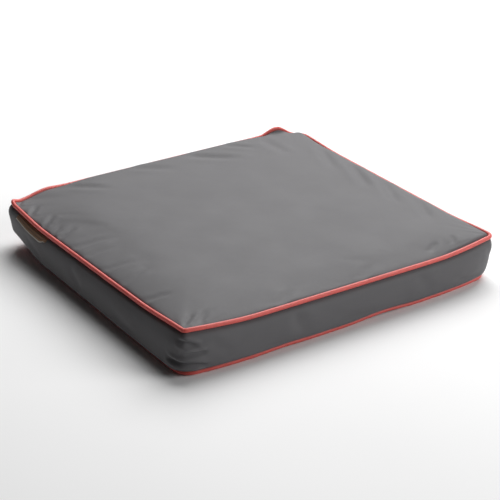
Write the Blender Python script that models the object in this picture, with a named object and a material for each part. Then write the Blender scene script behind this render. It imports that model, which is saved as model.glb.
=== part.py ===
"""A kneeling pad: a foam slab between two sheets of wadding, in a piped fabric cover with a zip.

Metres, +Z up. The pad lies on the floor with its middle over the origin. Its front is at -Y, its zip is
at the rear (+Y) and its label hangs on the left side (-X). The edge's layers are placed by their inset,
the distance inward from the outer face of the band, and by their height above or below a seam.
"""

import math
from collections import namedtuple

import bmesh
import bpy
from mathutils import Vector

# Overall size, over the piping
WIDTH = 0.450
DEPTH = 0.400
CORNER_RADIUS = 0.018
SIDE_BOW = 0.005  # how far the front, left and right sides swell out between their corners
CORNER_REACH = 0.050  # a seam rises towards a corner from this far away

# Layers
FOAM_THICKNESS = 0.050
WADDING_TOP = 0.0027
WADDING_BOTTOM = 0.0019
FABRIC = 0.0006
GAP = 0.0003
PANEL_GAP = 0.0006  # between a panel and its wadding

# Seams: the height of the piping's centre at the middle of a side, and its rise at the corners
SEAM_BOTTOM = 0.0030
SEAM_TOP = 0.0450
LIFT_BOTTOM = 0.0060
LIFT_TOP = 0.0050
ALLOWANCE = 0.0085  # how far the folded edges reach inside, from the seam

# Piping
BEAD_RADIUS = 0.0025
BEAD_INSET = 0.0008
PIPING_FABRIC = 0.00045
CORD_RADIUS = 0.0016

# Zip
ZIP_HEIGHT = 0.024
ZIP_OPENING = 0.0110  # the gap between the two zip bands
HEM = 0.0045
ZIP_BAND_HALF = 0.1700
TAPE_HALF = 0.1755
COIL_HALF = 0.1627
COIL_REACH = 0.0026  # from the zip's middle to the outer side of a coil
CHANNEL_HALF = 0.00075  # half the channel along the zip's middle
COIL_THICKNESS = 0.0021
TAPE_REACH = 0.0116
STOP_PROUD = 0.0006  # how far the stops stand out from the coils
TOP_STOP_LENGTH = 0.0020
BOTTOM_STOP_LENGTH = 0.0025

# Slider
SLIDER_LENGTH = 0.0095
SLIDER_WIDTH = 0.0072
TAIL_WIDTH = 0.0066
NOSE_WIDTH = 0.0046
SHOULDER = 0.0020  # where the slider is widest, forward of its middle
EDGE_ROUND = 0.00025
FRONT_PLATE = 0.0014
BACK_PLATE = 0.0010
POST_WIDTH = 0.0008
POST_LENGTH = 0.0025
BRIDGE_LENGTH = 0.0078
BRIDGE_RISE = 0.0032
BRIDGE_THICKNESS = 0.0008
BRIDGE_WIDTH = 0.0024
FOOT_LENGTH = 0.0012

# Pull tab
TAB_AXIS_OUT = 0.0034  # the hinge axis's distance outside the band's face
TAB_LENGTH = 0.0240
TAB_WIDTH = 0.0064
TAB_THICKNESS = 0.0012
BAR_HALF = 0.00075
EYE_END = 0.0046
EYE_WIDTH = 0.0036

# Label
LABEL_LENGTH = 0.075
LABEL_DROP = 0.0110
LABEL_THICKNESS = 0.0004
LABEL_MIDDLE = 0.1375  # along +Y

# Worked out from the values above
SKIN = FABRIC + GAP  # one layer of cloth and the gap behind it
FACE_X = WIDTH / 2 - (BEAD_RADIUS - BEAD_INSET)
FACE_Y = DEPTH / 2 - (BEAD_RADIUS - BEAD_INSET)
CORNER_X = FACE_X - SIDE_BOW
CORNER_FRONT = FACE_Y - SIDE_BOW
WADDING_DEPTH = FABRIC + PANEL_GAP  # from a panel's outer face to its wadding
FOAM_TOP_DEPTH = WADDING_DEPTH + WADDING_TOP + GAP
FOAM_BOTTOM_DEPTH = WADDING_DEPTH + WADDING_BOTTOM + GAP
TOP_HEIGHT = FOAM_BOTTOM_DEPTH + FOAM_THICKNESS + FOAM_TOP_DEPTH
FLANGE_INSET = 2 * SKIN  # behind the band and its folded edge
PANEL_INSET = FLANGE_INSET + 4 * PIPING_FABRIC
FILLING_INSET = PANEL_INSET + FABRIC + 2 * GAP
FOLD_DROP = BEAD_RADIUS + GAP  # from a seam to the fold that lies against the piping
EDGE_RISE = 0.0005
TAPE_INSET = 2 * SKIN
COIL_INSET = TAPE_INSET - GAP - COIL_THICKNESS
SLIDER_X = COIL_HALF - SLIDER_LENGTH / 2

# Shape of the crown: rings towards the middle, as shares of the outline's size
TOP_FLAT_FROM = 0.50
BOTTOM_FLAT_FROM = 0.88
TOP_RINGS = (1.0, 0.96, 0.89, 0.76, TOP_FLAT_FROM)
BOTTOM_RINGS = (1.0, 0.975, 0.945, BOTTOM_FLAT_FROM)
CROWN_SHARPNESS = 4
SIDE_STEPS = (-0.88, -0.64, -0.3, 0.0, 0.3, 0.64, 0.88)  # stations along a side, -1 and 1 at its ends
REAR_STEPS = (-0.085, 0.0, 0.085)
BAND_RETURN = (0.1705, 0.1860)  # the side band's stations on the rear, from its end
CORNER_SEGMENTS = 3
PIPING_SEGMENTS = 8

# Finish: edges sharper than these angles stay sharp, or are rounded on metal
SHARP_ANGLE = math.radians(35)
BEVEL_ANGLE = math.radians(40)
CLOTH_ROUGHNESS = 0.55
PIPING_ROUGHNESS = 0.5
FIBRE_ROUGHNESS = 0.95
TAPE_ROUGHNESS = 0.8
COIL_ROUGHNESS = 0.45
METAL_ROUGHNESS = 0.3

GREY = (0.105, 0.103, 0.107)
CORAL = (0.78, 0.15, 0.11)
WHITE = (0.72, 0.71, 0.68)
CREAM = (0.66, 0.60, 0.42)
DARK = (0.03, 0.03, 0.032)
STEEL = (0.46, 0.46, 0.47)
TAN = (0.30, 0.22, 0.14)

Station = namedtuple("Station", "point inward nearness")


# Tools


def clear_scene():
    for item in list(bpy.data.objects):
        bpy.data.objects.remove(item, do_unlink=True)


def make_material(name, colour, roughness, metallic):
    finish = bpy.data.materials.new(name)
    finish.use_nodes = True
    shader = finish.node_tree.nodes["Principled BSDF"]
    shader.inputs["Base Color"].default_value = (*colour, 1.0)
    shader.inputs["Roughness"].default_value = roughness
    shader.inputs["Metallic"].default_value = metallic
    finish.diffuse_color = (*colour, 1.0)
    return finish


def add_object(name, shape, colour, roughness=CLOTH_ROUGHNESS, metallic=0.0, origin=(0, 0, 0), parent=None):
    """Turn a bmesh, drawn round its own origin, into a named object with its own material."""
    bmesh.ops.recalc_face_normals(shape, faces=shape.faces)
    mesh = bpy.data.meshes.new(name)
    shape.to_mesh(mesh)
    shape.free()
    mesh.shade_smooth()
    mesh.set_sharp_from_angle(angle=SHARP_ANGLE)
    mesh.materials.append(make_material(name, colour, roughness, metallic))
    item = bpy.data.objects.new(name, mesh)
    item.location = origin
    item.parent = parent
    bpy.context.scene.collection.objects.link(item)
    return item


def loft(loops, closed=False):
    """Join loops of points into one solid, with a cap at each end unless it closes on itself.

    Each quad is two triangles split the same way, so that layers lofted alike stay clear of each other.
    """
    shape = bmesh.new()
    rows = [[shape.verts.new(point) for point in loop] for loop in loops]
    if not closed:
        shape.faces.new(rows[0])
        shape.faces.new(rows[-1])
    for here, after in zip(rows, rows[1:] + rows[:1] if closed else rows[1:]):
        for i, point in enumerate(here):
            shape.faces.new((here[i - 1], point, after[i]))
            shape.faces.new((here[i - 1], after[i], after[i - 1]))
    return shape


def prism(outline, axis, low, high):
    """Extrude an outline of (first, second) points along the named axis, from low to high."""

    def place(point, along):
        values = list(point)
        values.insert("XYZ".index(axis), along)
        return Vector(values)

    return loft([[place(point, along) for point in outline] for along in (low, high)])


def rectangle(low, high):
    return [(low[0], low[1]), (high[0], low[1]), (high[0], high[1]), (low[0], high[1])]


def rounded(low, high, radius, segments=3):
    """A rectangle's outline with round corners."""
    right, top = high[0] - radius, high[1] - radius
    left, bottom = low[0] + radius, low[1] + radius
    points = []
    for quarter, (x, y) in enumerate(((right, top), (left, top), (left, bottom), (right, bottom))):
        for step in range(segments + 1):
            angle = math.pi / 2 * (quarter + step / segments)
            points.append((x + radius * math.cos(angle), y + radius * math.sin(angle)))
    return points


def soften(shape, width=EDGE_ROUND):
    """Round the sharp edges of a small metal shape."""
    bmesh.ops.recalc_face_normals(shape, faces=shape.faces)
    sharp = [edge for edge in shape.edges if edge.calc_face_angle(0.0) > BEVEL_ANGLE]
    bmesh.ops.bevel(shape, geom=sharp, offset=width, segments=2, affect="EDGES", profile=0.5)
    return shape


def combine(item, operation, shape):
    """A boolean, kept as a modifier, between an object and a shape drawn in the object's own frame."""
    guide = add_object(f"{item.name}_{operation.lower()}_{len(item.modifiers)}", shape, DARK, parent=item)
    guide.hide_render = True
    guide.display_type = "WIRE"
    boolean = item.modifiers.new(operation.title(), "BOOLEAN")
    boolean.operation = operation
    boolean.object = guide


# The outline of the pad


def corner_nearness(x, y):
    """1 at a corner of the pad, falling smoothly to 0 at CORNER_REACH from it."""
    across = CORNER_X - abs(x)
    along = (FACE_Y if y > 0 else CORNER_FRONT) - abs(y)
    t = min(math.hypot(across, along) / CORNER_REACH, 1.0)
    return 1.0 - t * t * (3.0 - 2.0 * t)


def make_station(point, inward):
    return Station(point, inward.normalized(), corner_nearness(point.x, point.y))


def bowed_side(start, end, steps):
    """Stations along a side that swells out in the middle; start to end runs clockwise from above."""
    along = (end - start).normalized()
    outward = Vector((-along.y, along.x, 0.0))
    half = (end - start).length / 2
    stations = []
    for t in steps:
        swell = SIDE_BOW * (1.0 + math.cos(math.pi * t)) / 2
        slope = -SIDE_BOW * math.pi * math.sin(math.pi * t) / 2 / half
        point = (start + end) / 2 + along * half * t + outward * swell
        stations.append(make_station(point, along * slope - outward))
    return stations


def corner(middle, start_angle):
    """Stations round a corner, clockwise from start_angle."""
    stations = []
    for step in range(CORNER_SEGMENTS + 1):
        angle = start_angle - math.pi / 2 * step / CORNER_SEGMENTS
        outward = Vector((math.cos(angle), math.sin(angle), 0.0))
        stations.append(make_station(middle + outward * CORNER_RADIUS, -outward))
    return stations


def rear_station(x):
    return make_station(Vector((x, FACE_Y, 0.0)), Vector((0.0, -1.0, 0.0)))


def left_side(steps):
    r = CORNER_RADIUS
    return bowed_side(Vector((-CORNER_X, r - CORNER_FRONT, 0)), Vector((-CORNER_X, FACE_Y - r, 0)), steps)


def band_stations():
    """From the band's end at the rear right, clockwise round the front, to its end at the rear left."""
    r = CORNER_RADIUS
    x = CORNER_X
    front = -CORNER_FRONT
    stations = [rear_station(along) for along in BAND_RETURN]
    stations += corner(Vector((x - r, FACE_Y - r, 0)), math.pi / 2)
    stations += bowed_side(Vector((x, FACE_Y - r, 0)), Vector((x, front + r, 0)), SIDE_STEPS)
    stations += corner(Vector((x - r, front + r, 0)), 0.0)
    stations += bowed_side(Vector((x - r, front, 0)), Vector((r - x, front, 0)), SIDE_STEPS)
    stations += corner(Vector((r - x, front + r, 0)), -math.pi / 2)
    stations += left_side(SIDE_STEPS)
    stations += corner(Vector((r - x, FACE_Y - r, 0)), math.pi)
    return stations + [rear_station(-along) for along in reversed(BAND_RETURN)]


def rear_stations():
    return [rear_station(x) for x in REAR_STEPS]


def seam(station, top):
    """The height of the piping's centre at a station."""
    if top:
        return SEAM_TOP + LIFT_TOP * station.nearness
    return SEAM_BOTTOM + LIFT_BOTTOM * station.nearness


def place(station, inset, height):
    return station.point + station.inward * inset + Vector((0.0, 0.0, height))


def crown_ring(stations, inset, scale, top, depth):
    """A ring of the crown's surface, or of one at a depth below it, towards the pad's middle."""
    flat_from = TOP_FLAT_FROM if top else BOTTOM_FLAT_FROM
    far = min((1.0 - scale) / (1.0 - flat_from), 1.0)
    share = 1.0 - (1.0 - far) ** CROWN_SHARPNESS
    level = TOP_HEIGHT if top else 0.0
    outside = 1 if top else -1
    ring = []
    for station in stations:
        edge = seam(station, top) + outside * EDGE_RISE
        point = (station.point + station.inward * inset) * scale
        point.z = edge + (level - edge) * share - outside * depth
        ring.append(point)
    return ring


# Filling


def crown_rings(stations, inset, top, depth):
    """Rings from the edge to the middle; the underside stops where it lies flat on the floor."""
    scales = TOP_RINGS if top else BOTTOM_RINGS
    return [crown_ring(stations, inset, scale, top, depth) for scale in scales]


def layer(upper, lower, downward):
    """A solid between two surfaces, each a list of rings from the edge in.

    It is lofted down over its edge or up over it. Layers alternate, so that the surfaces that face each
    other run the same way.
    """
    return loft(upper[::-1] + lower if downward else lower[::-1] + upper)


def make_foam(loop, pad):
    above = crown_rings(loop, FILLING_INSET, True, FOAM_TOP_DEPTH)
    below = crown_rings(loop, FILLING_INSET, False, FOAM_BOTTOM_DEPTH)
    add_object("foam_core", layer(above, below, True), CREAM, FIBRE_ROUGHNESS, parent=pad)


def make_waddings(loop, pad):
    upper = crown_rings(loop, FILLING_INSET, True, WADDING_DEPTH)
    lower = crown_rings(loop, FILLING_INSET, True, WADDING_DEPTH + WADDING_TOP)
    add_object("wadding_top", layer(upper, lower, False), WHITE, FIBRE_ROUGHNESS, parent=pad)
    upper = crown_rings(loop, FILLING_INSET, False, WADDING_DEPTH + WADDING_BOTTOM)
    lower = crown_rings(loop, FILLING_INSET, False, WADDING_DEPTH)
    add_object("wadding_bottom", layer(upper, lower, False), WHITE, FIBRE_ROUGHNESS, parent=pad)


# Cover


def make_panel(name, loop, top, pad):
    """A panel of the cover, with its edge turned into the seam and down behind the piping."""
    inward = -1 if top else 1

    def ring(inset, drop):
        return [place(station, inset, seam(station, top) + inward * drop) for station in loop]

    rise = PANEL_INSET + FABRIC + GAP
    outside = [ring(PANEL_INSET, ALLOWANCE), ring(PANEL_INSET, GAP)] + crown_rings(loop, rise, top, 0.0)
    inside = [ring(PANEL_INSET + FABRIC, ALLOWANCE), ring(PANEL_INSET + FABRIC, SKIN)]
    inside += crown_rings(loop, rise, top, FABRIC)
    upper, lower = (outside, inside) if top else (inside, outside)
    add_object(name, layer(upper, lower, True), GREY, parent=pad)


def hooked_end(edge, direction, length):
    """One end of a strip's section, folded in: from the strip's outer face to its inner one."""
    tip = edge + direction * length
    inner = edge + direction * FABRIC
    fold = SKIN + FABRIC
    return [(0.0, edge), (fold, edge), (fold, tip), (SKIN, tip), (SKIN, inner), (FABRIC, inner)]


def strip(name, stations, upper, lower, pad):
    """A strip of the cover, folded in at both edges: each end is (edge height, fold's length)."""
    sections = []
    for station in stations:
        top_edge, top_fold = upper(station)
        bottom_edge, bottom_fold = lower(station)
        outline = hooked_end(top_edge, -1, top_fold) + hooked_end(bottom_edge, 1, bottom_fold)[::-1]
        sections.append([place(station, inset, height) for inset, height in outline])
    add_object(name, loft(sections), GREY, parent=pad)


def top_fold(station):
    return seam(station, True) - FOLD_DROP, ALLOWANCE - FOLD_DROP


def bottom_fold(station):
    return seam(station, False) + FOLD_DROP, ALLOWANCE - FOLD_DROP


def upper_hem(_station):
    return ZIP_HEIGHT + ZIP_OPENING / 2, HEM


def lower_hem(_station):
    return ZIP_HEIGHT - ZIP_OPENING / 2, HEM


def make_bands(sides, pad):
    strip("side_band", sides, top_fold, bottom_fold, pad)
    rear = [rear_station(-ZIP_BAND_HALF)] + rear_stations() + [rear_station(ZIP_BAND_HALF)]
    strip("zip_band_upper", rear, top_fold, upper_hem, pad)
    strip("zip_band_lower", rear, lower_hem, bottom_fold, pad)


def arc(radius, start, end, segments):
    turns = [start + (end - start) * step / segments for step in range(segments + 1)]
    return [(BEAD_INSET + radius * math.cos(turn), radius * math.sin(turn)) for turn in turns]


def piping_section():
    """The folded strip's section round the cord, as (inset, height above the seam)."""
    first = FLANGE_INSET - BEAD_INSET
    second = first + PIPING_FABRIC
    third = second + GAP
    fourth = third + PIPING_FABRIC
    inner_radius = BEAD_RADIUS - PIPING_FABRIC
    full = 2 * math.pi
    outer = arc(
        BEAD_RADIUS,
        -math.acos(fourth / BEAD_RADIUS),
        full - math.acos(first / BEAD_RADIUS),
        PIPING_SEGMENTS,
    )
    inner = arc(
        inner_radius,
        full - math.acos(second / inner_radius),
        -math.acos(third / inner_radius),
        PIPING_SEGMENTS - 1,
    )
    outer_flange = [(BEAD_INSET + first, -ALLOWANCE), (BEAD_INSET + second, -ALLOWANCE)]
    inner_flange = [(BEAD_INSET + third, -ALLOWANCE), (BEAD_INSET + fourth, -ALLOWANCE)]
    return outer + outer_flange + inner + inner_flange


def make_piping(side, loop, top, pad):
    """The cord in its folded strip of cloth, whose two free edges reach inside the cover."""
    up = 1 if top else -1

    def sections(outline):
        return [[place(s, inset, seam(s, top) + up * height) for inset, height in outline] for s in loop]

    cover = loft(sections(piping_section()), True)
    add_object(f"{side}_piping_cover", cover, CORAL, PIPING_ROUGHNESS, parent=pad)
    cord = arc(CORD_RADIUS, 0.0, 2 * math.pi, PIPING_SEGMENTS - 1)[:-1]
    add_object(f"{side}_piping_cord", loft(sections(cord), True), WHITE, FIBRE_ROUGHNESS, parent=pad)


def make_label(pad):
    half = (FACE_Y + CORNER_FRONT) / 2 - CORNER_RADIUS
    middle = (FACE_Y - CORNER_FRONT) / 2
    ends = [LABEL_MIDDLE + sign * LABEL_LENGTH / 2 for sign in (-1, -0.5, 0, 0.5, 1)]
    sections = []
    for station in left_side([(y - middle) / half for y in ends]):
        top_edge = seam(station, True) - FOLD_DROP
        outline = rectangle((-GAP - LABEL_THICKNESS, top_edge - LABEL_DROP), (-GAP, top_edge))
        sections.append([place(station, inset, height) for inset, height in outline])
    add_object("woven_label", loft(sections), TAN, parent=pad)


# Zip


def rear_box(x_range, insets, heights):
    """A block behind, in or in front of the rear band, by its insets and heights."""
    outline = rectangle((x_range[0], FACE_Y - insets[1]), (x_range[1], FACE_Y - insets[0]))
    return prism(outline, "Z", min(heights), max(heights))


def make_chain(half, side, pad):
    """One half of the zip: its tape, its coil and the stop at the closed end."""

    def heights(low, high):
        return ZIP_HEIGHT + side * low, ZIP_HEIGHT + side * high

    tape = (TAPE_INSET, TAPE_INSET + FABRIC)
    coil = (COIL_INSET, COIL_INSET + COIL_THICKNESS)
    stop = (COIL_INSET - STOP_PROUD, coil[1])
    body = rear_box((-TAPE_HALF, TAPE_HALF), tape, heights(CHANNEL_HALF, TAPE_REACH))
    add_object(f"zip_tape_{half}", body, DARK, TAPE_ROUGHNESS, parent=pad)
    ridge = rounded(
        (FACE_Y - coil[1], min(heights(CHANNEL_HALF, COIL_REACH))),
        (FACE_Y - coil[0], max(heights(CHANNEL_HALF, COIL_REACH))),
        COIL_THICKNESS / 4,
        1,
    )
    turns = prism(ridge, "X", -COIL_HALF, COIL_HALF)
    add_object(f"zip_coil_{half}", turns, DARK, COIL_ROUGHNESS, parent=pad)
    start = COIL_HALF + GAP
    block = rear_box((start, start + TOP_STOP_LENGTH), stop, heights(CHANNEL_HALF, COIL_REACH + GAP))
    add_object(f"zip_top_stop_{half}", block, STEEL, METAL_ROUGHNESS, 1.0, parent=pad)


def make_bottom_stop(pad):
    start = -COIL_HALF - GAP
    insets = (COIL_INSET - STOP_PROUD, COIL_INSET + COIL_THICKNESS)
    reach = COIL_REACH + GAP
    block = rear_box((start - BOTTOM_STOP_LENGTH, start), insets, (ZIP_HEIGHT - reach, ZIP_HEIGHT + reach))
    add_object("zip_bottom_stop", block, STEEL, METAL_ROUGHNESS, 1.0, parent=pad)


def shield(x):
    """The outline of the slider's plates, along the zip and up: widest at the shoulder."""
    tail = TAIL_WIDTH / 2
    wide = SLIDER_WIDTH / 2
    nose = NOSE_WIDTH / 2
    return [(-x, -tail), (SHOULDER, -wide), (x, -nose), (x, nose), (SHOULDER, wide), (-x, tail)]


def make_slider(pad):
    """Two plates joined by a post, with flanges round the coils and a bridge for the tab.

    Its own frame has X along the zip, +Y out of the pad, measured from the band's face, and Z up.
    """
    x = SLIDER_LENGTH / 2
    z = SLIDER_WIDTH / 2
    plate_back = GAP - COIL_INSET
    plate_front = plate_back + FRONT_PLATE
    flange_tip = GAP - TAPE_INSET
    back_front = -(TAPE_INSET + FABRIC + GAP)
    flange_inner = COIL_REACH + GAP
    upper = [(plate_front, z), (flange_tip, z), (flange_tip, flange_inner), (plate_back, flange_inner)]
    front_section = upper + [(out, -up) for out, up in reversed(upper)]
    place = (SLIDER_X, FACE_Y, ZIP_HEIGHT)
    front = prism(front_section, "X", -x, x)
    slider = add_object("zip_slider", front, STEEL, METAL_ROUGHNESS, 1.0, place, pad)
    combine(slider, "INTERSECT", soften(prism(shield(x), "Y", flange_tip - GAP, plate_front)))
    back = soften(prism(shield(x), "Y", back_front - BACK_PLATE, back_front))
    nose = x - GAP
    post_outline = rectangle((nose - POST_LENGTH, back_front - GAP), (nose, plate_back + GAP))
    post = prism(post_outline, "Z", -POST_WIDTH / 2, POST_WIDTH / 2)
    outer = BRIDGE_LENGTH / 2
    inner = outer - FOOT_LENGTH
    root = plate_front - GAP
    crest = plate_front + BRIDGE_RISE
    under = crest - BRIDGE_THICKNESS
    arch = [
        (-outer, root), (-inner, root), (-inner, under), (inner, under),
        (inner, root), (outer, root), (outer, under), (inner, crest), (-inner, crest), (-outer, under),
    ]
    bridge = soften(prism(arch, "Z", -BRIDGE_WIDTH / 2, BRIDGE_WIDTH / 2))
    for shape in (back, post, bridge):
        combine(slider, "UNION", shape)
    return slider


def make_pull_tab(slider):
    """A flat tab whose end bar turns under the slider's bridge; its frame is on the bar's axis."""
    half = TAB_WIDTH / 2
    outline = rounded((-TAB_LENGTH, -half), (BAR_HALF, half), half / 3)
    plate = soften(prism(outline, "Y", -TAB_THICKNESS / 2, TAB_THICKNESS / 2))
    tab = add_object("zip_pull_tab", plate, STEEL, METAL_ROUGHNESS, 1.0, (0.0, TAB_AXIS_OUT, 0.0), slider)
    eye = rectangle((-EYE_END, -EYE_WIDTH / 2), (-BAR_HALF, EYE_WIDTH / 2))
    combine(tab, "DIFFERENCE", prism(eye, "Y", -TAB_THICKNESS, TAB_THICKNESS))


def main():
    clear_scene()
    pad = bpy.data.objects.new("pad", None)
    bpy.context.scene.collection.objects.link(pad)
    sides = band_stations()
    loop = sides + rear_stations()
    make_foam(loop, pad)
    make_waddings(loop, pad)
    make_panel("top_panel", loop, True, pad)
    make_panel("bottom_panel", loop, False, pad)
    make_bands(sides, pad)
    make_piping("top", loop, True, pad)
    make_piping("bottom", loop, False, pad)
    make_label(pad)
    make_chain("upper", 1, pad)
    make_chain("lower", -1, pad)
    make_bottom_stop(pad)
    make_pull_tab(make_slider(pad))


main()
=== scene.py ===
"""The looks of a kneeling pad: its piped polyester cover, filling and zip, in a plain pale studio.

Metres, +Z up. The pad lies on the floor with its front at -Y, its zip at the rear (+Y) and its label on
the left side (-X). Outlines run anticlockwise from above and start at the middle of the front left
corner. An inset is a distance inward from the band's face.
"""

import math
from collections import namedtuple

import bpy
import numpy as np
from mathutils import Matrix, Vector, noise


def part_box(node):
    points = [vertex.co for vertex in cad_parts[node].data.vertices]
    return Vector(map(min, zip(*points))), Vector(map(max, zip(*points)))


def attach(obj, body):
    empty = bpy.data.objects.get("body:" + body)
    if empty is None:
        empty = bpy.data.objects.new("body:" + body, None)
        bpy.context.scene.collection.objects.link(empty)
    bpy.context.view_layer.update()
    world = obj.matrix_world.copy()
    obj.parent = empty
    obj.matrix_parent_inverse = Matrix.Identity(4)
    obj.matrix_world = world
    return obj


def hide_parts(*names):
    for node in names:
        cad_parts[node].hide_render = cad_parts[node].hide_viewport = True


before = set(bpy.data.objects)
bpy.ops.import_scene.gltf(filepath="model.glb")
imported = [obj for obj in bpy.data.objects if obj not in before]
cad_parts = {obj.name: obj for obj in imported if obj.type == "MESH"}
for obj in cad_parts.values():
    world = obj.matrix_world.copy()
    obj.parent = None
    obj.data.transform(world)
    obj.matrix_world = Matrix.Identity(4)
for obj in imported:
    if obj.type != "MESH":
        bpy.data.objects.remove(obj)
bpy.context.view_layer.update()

# Sizes read from the frame
BAND_LOW, BAND_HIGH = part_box("side_band")
PANEL_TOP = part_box("top_panel")[1][2]
PIPING_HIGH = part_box("top_piping_cover")[1]
PIPING_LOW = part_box("bottom_piping_cover")[0]
LABEL_LOW, LABEL_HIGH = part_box("woven_label")
ZIP_BAND_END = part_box("zip_band_upper")[1][0]
UPPER_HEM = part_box("zip_band_upper")[0][2]
LOWER_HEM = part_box("zip_band_lower")[1][2]
COIL_BOXES = {1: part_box("zip_coil_upper"), -1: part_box("zip_coil_lower")}

# Outline of the band's face
FACE_X = BAND_HIGH[0]
FACE_REAR = BAND_HIGH[1]
FACE_FRONT = -BAND_LOW[1]
BOW = 0.005  # how far the frame's sides swell out from its corners
BOW_FLATNESS = 6
CELLS_X = 120
CELLS_Y = 108
SIDE_POINTS = 101
ARC_POINTS = 12

# Each corner: where it sits from the frame's corner, its radius at the top and the bottom seam, how far
# its seams rise above those of the sides, and how far its bottom seam is drawn in
Corner = namedtuple("Corner", "shift_x shift_y radius_top radius_bottom lift_top lift_bottom tuck")
CORNERS = (
    Corner(0.0068, -0.0012, 0.0050, 0.0200, 0.0037, 0.0000, -0.0060),  # front left
    Corner(-0.0047, -0.0039, 0.0100, 0.0250, 0.0045, 0.0000, 0.0015),  # front right
    Corner(-0.0019, 0.0025, 0.0180, 0.0180, 0.0045, 0.0060, 0.0020),  # rear right
    Corner(0.0006, 0.0024, 0.0060, 0.0120, 0.0061, 0.0130, 0.0030),  # rear left
)

# How far each side bows out between its corners: front, right, rear, left
TOP_BOWS = (0.0062, 0.0012, 0.0080, 0.0012)
BOTTOM_BOWS = (0.0054, 0.0010, 0.0000, 0.0005)

# Seams, at the middle of the piping
BEAD_RADIUS = 0.0025
BEAD_INSET = BEAD_RADIUS - (PIPING_HIGH[0] - FACE_X)
SEAM_TOP = 0.0487
SEAM_BOTTOM = PIPING_LOW[2] + BEAD_RADIUS
CORNER_REACH = 0.090
REAR_RISE = 0.0085  # the rear seam stands higher, lifted by the zip band
REAR_REACH = 0.045
REAR_START = 0.018  # and starts to rise this far from the corners

# Loose stretches of piping that stand up from the seam: where, how far each way and how high
Loop = namedtuple("Loop", "place reach height")
TOP_LOOPS = (
    Loop((0.1810, 0.2050), 0.027, 0.0094),
    Loop((-0.2190, 0.2020), 0.014, 0.0035),
)
BOTTOM_LOOPS = (
    Loop((0.0450, -0.2030), 0.055, 0.0024),
    Loop((-0.0900, -0.2030), 0.045, 0.0010),
)

# Piping
PIPING_FABRIC = 0.00045
PIPING_GAP = 0.0003
FLANGE_INSET = 0.0020
OUTER_POINTS = 22
INNER_POINTS = 16
CORD_RADIUS = 0.0016
CORD_POINTS = 12
STRANDS = 3
STRAND_RELIEF = 0.18
ALLOWANCE = 0.0085

# Cover
FABRIC = 0.0006
PANEL_INSET = 0.0036
SKIRT = 0.0035  # how far a panel's edge is turned down behind the piping
CROWN_PROUD = 0.0024  # how far the top's fabric swells above the frame's
CROWN_REACH = 0.110
CROWN_SHARPNESS = 3
SHOULDER_REACH = 0.012
FRONT_SHOULDER = 0.12  # the share of the top's rise that is steep, beside the seam
REAR_SHOULDER = 0.90
RIGHT_SHOULDER = 0.60
SWELL_HEIGHT = 0.0040  # the top swells along the rear seam
SWELL_WIDTH = 0.045
SWELL_MIDDLE = 0.010
SWELL_START = 0.036
SWELL_FADE = 0.080
UNDERSIDE_REACH = 0.022
UNDERSIDE_SHARPNESS = 2
BAND_ROWS = 34
BAND_TOP_INSET = 0.0013
FRONT_BULGE = 0.0062
LEFT_BULGE = 0.0080
RIGHT_BULGE = 0.0036
BULGE_LOWNESS = 0.75  # below 1, the band is fullest below its middle
BULGE_FLATNESS = 4.0
BULGE_ROUNDNESS = 0.9
LEFT_BLEND = 0.020  # this near a side's face, the front's bulge turns into the side's
RIGHT_BLEND = 0.050
LEFT_CALM = 0.9  # the share of the left side's own bulge that is lost towards the rear
LEFT_CALM_START = 0.10  # along +Y
LEFT_CALM_REACH = 0.10
LIP_SHARE = 0.35  # the band stands out at once below the piping, over the seam allowances
LIP_HEIGHT = 0.05
LEAN_START = 0.0310  # above the zip the rear boxing leans out to its seam, over this height
LEAN_RISE = 0.0140
HEM = 0.0045
HEM_FOLD = 0.0002
ZIP_CLEAR = 0.185  # the rear band stays flat this far from the middle
ZIP_BLEND = 0.020
REAR_FACE_DEPTH = 0.004  # stations this near the rear face have no bulge beside the zip
REAR_STRIP_DEPTH = 0.006  # and this near it they belong to the rear boxing
REAR_BLEND = 0.010  # and this near it the band starts to follow the rear's lean

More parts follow.
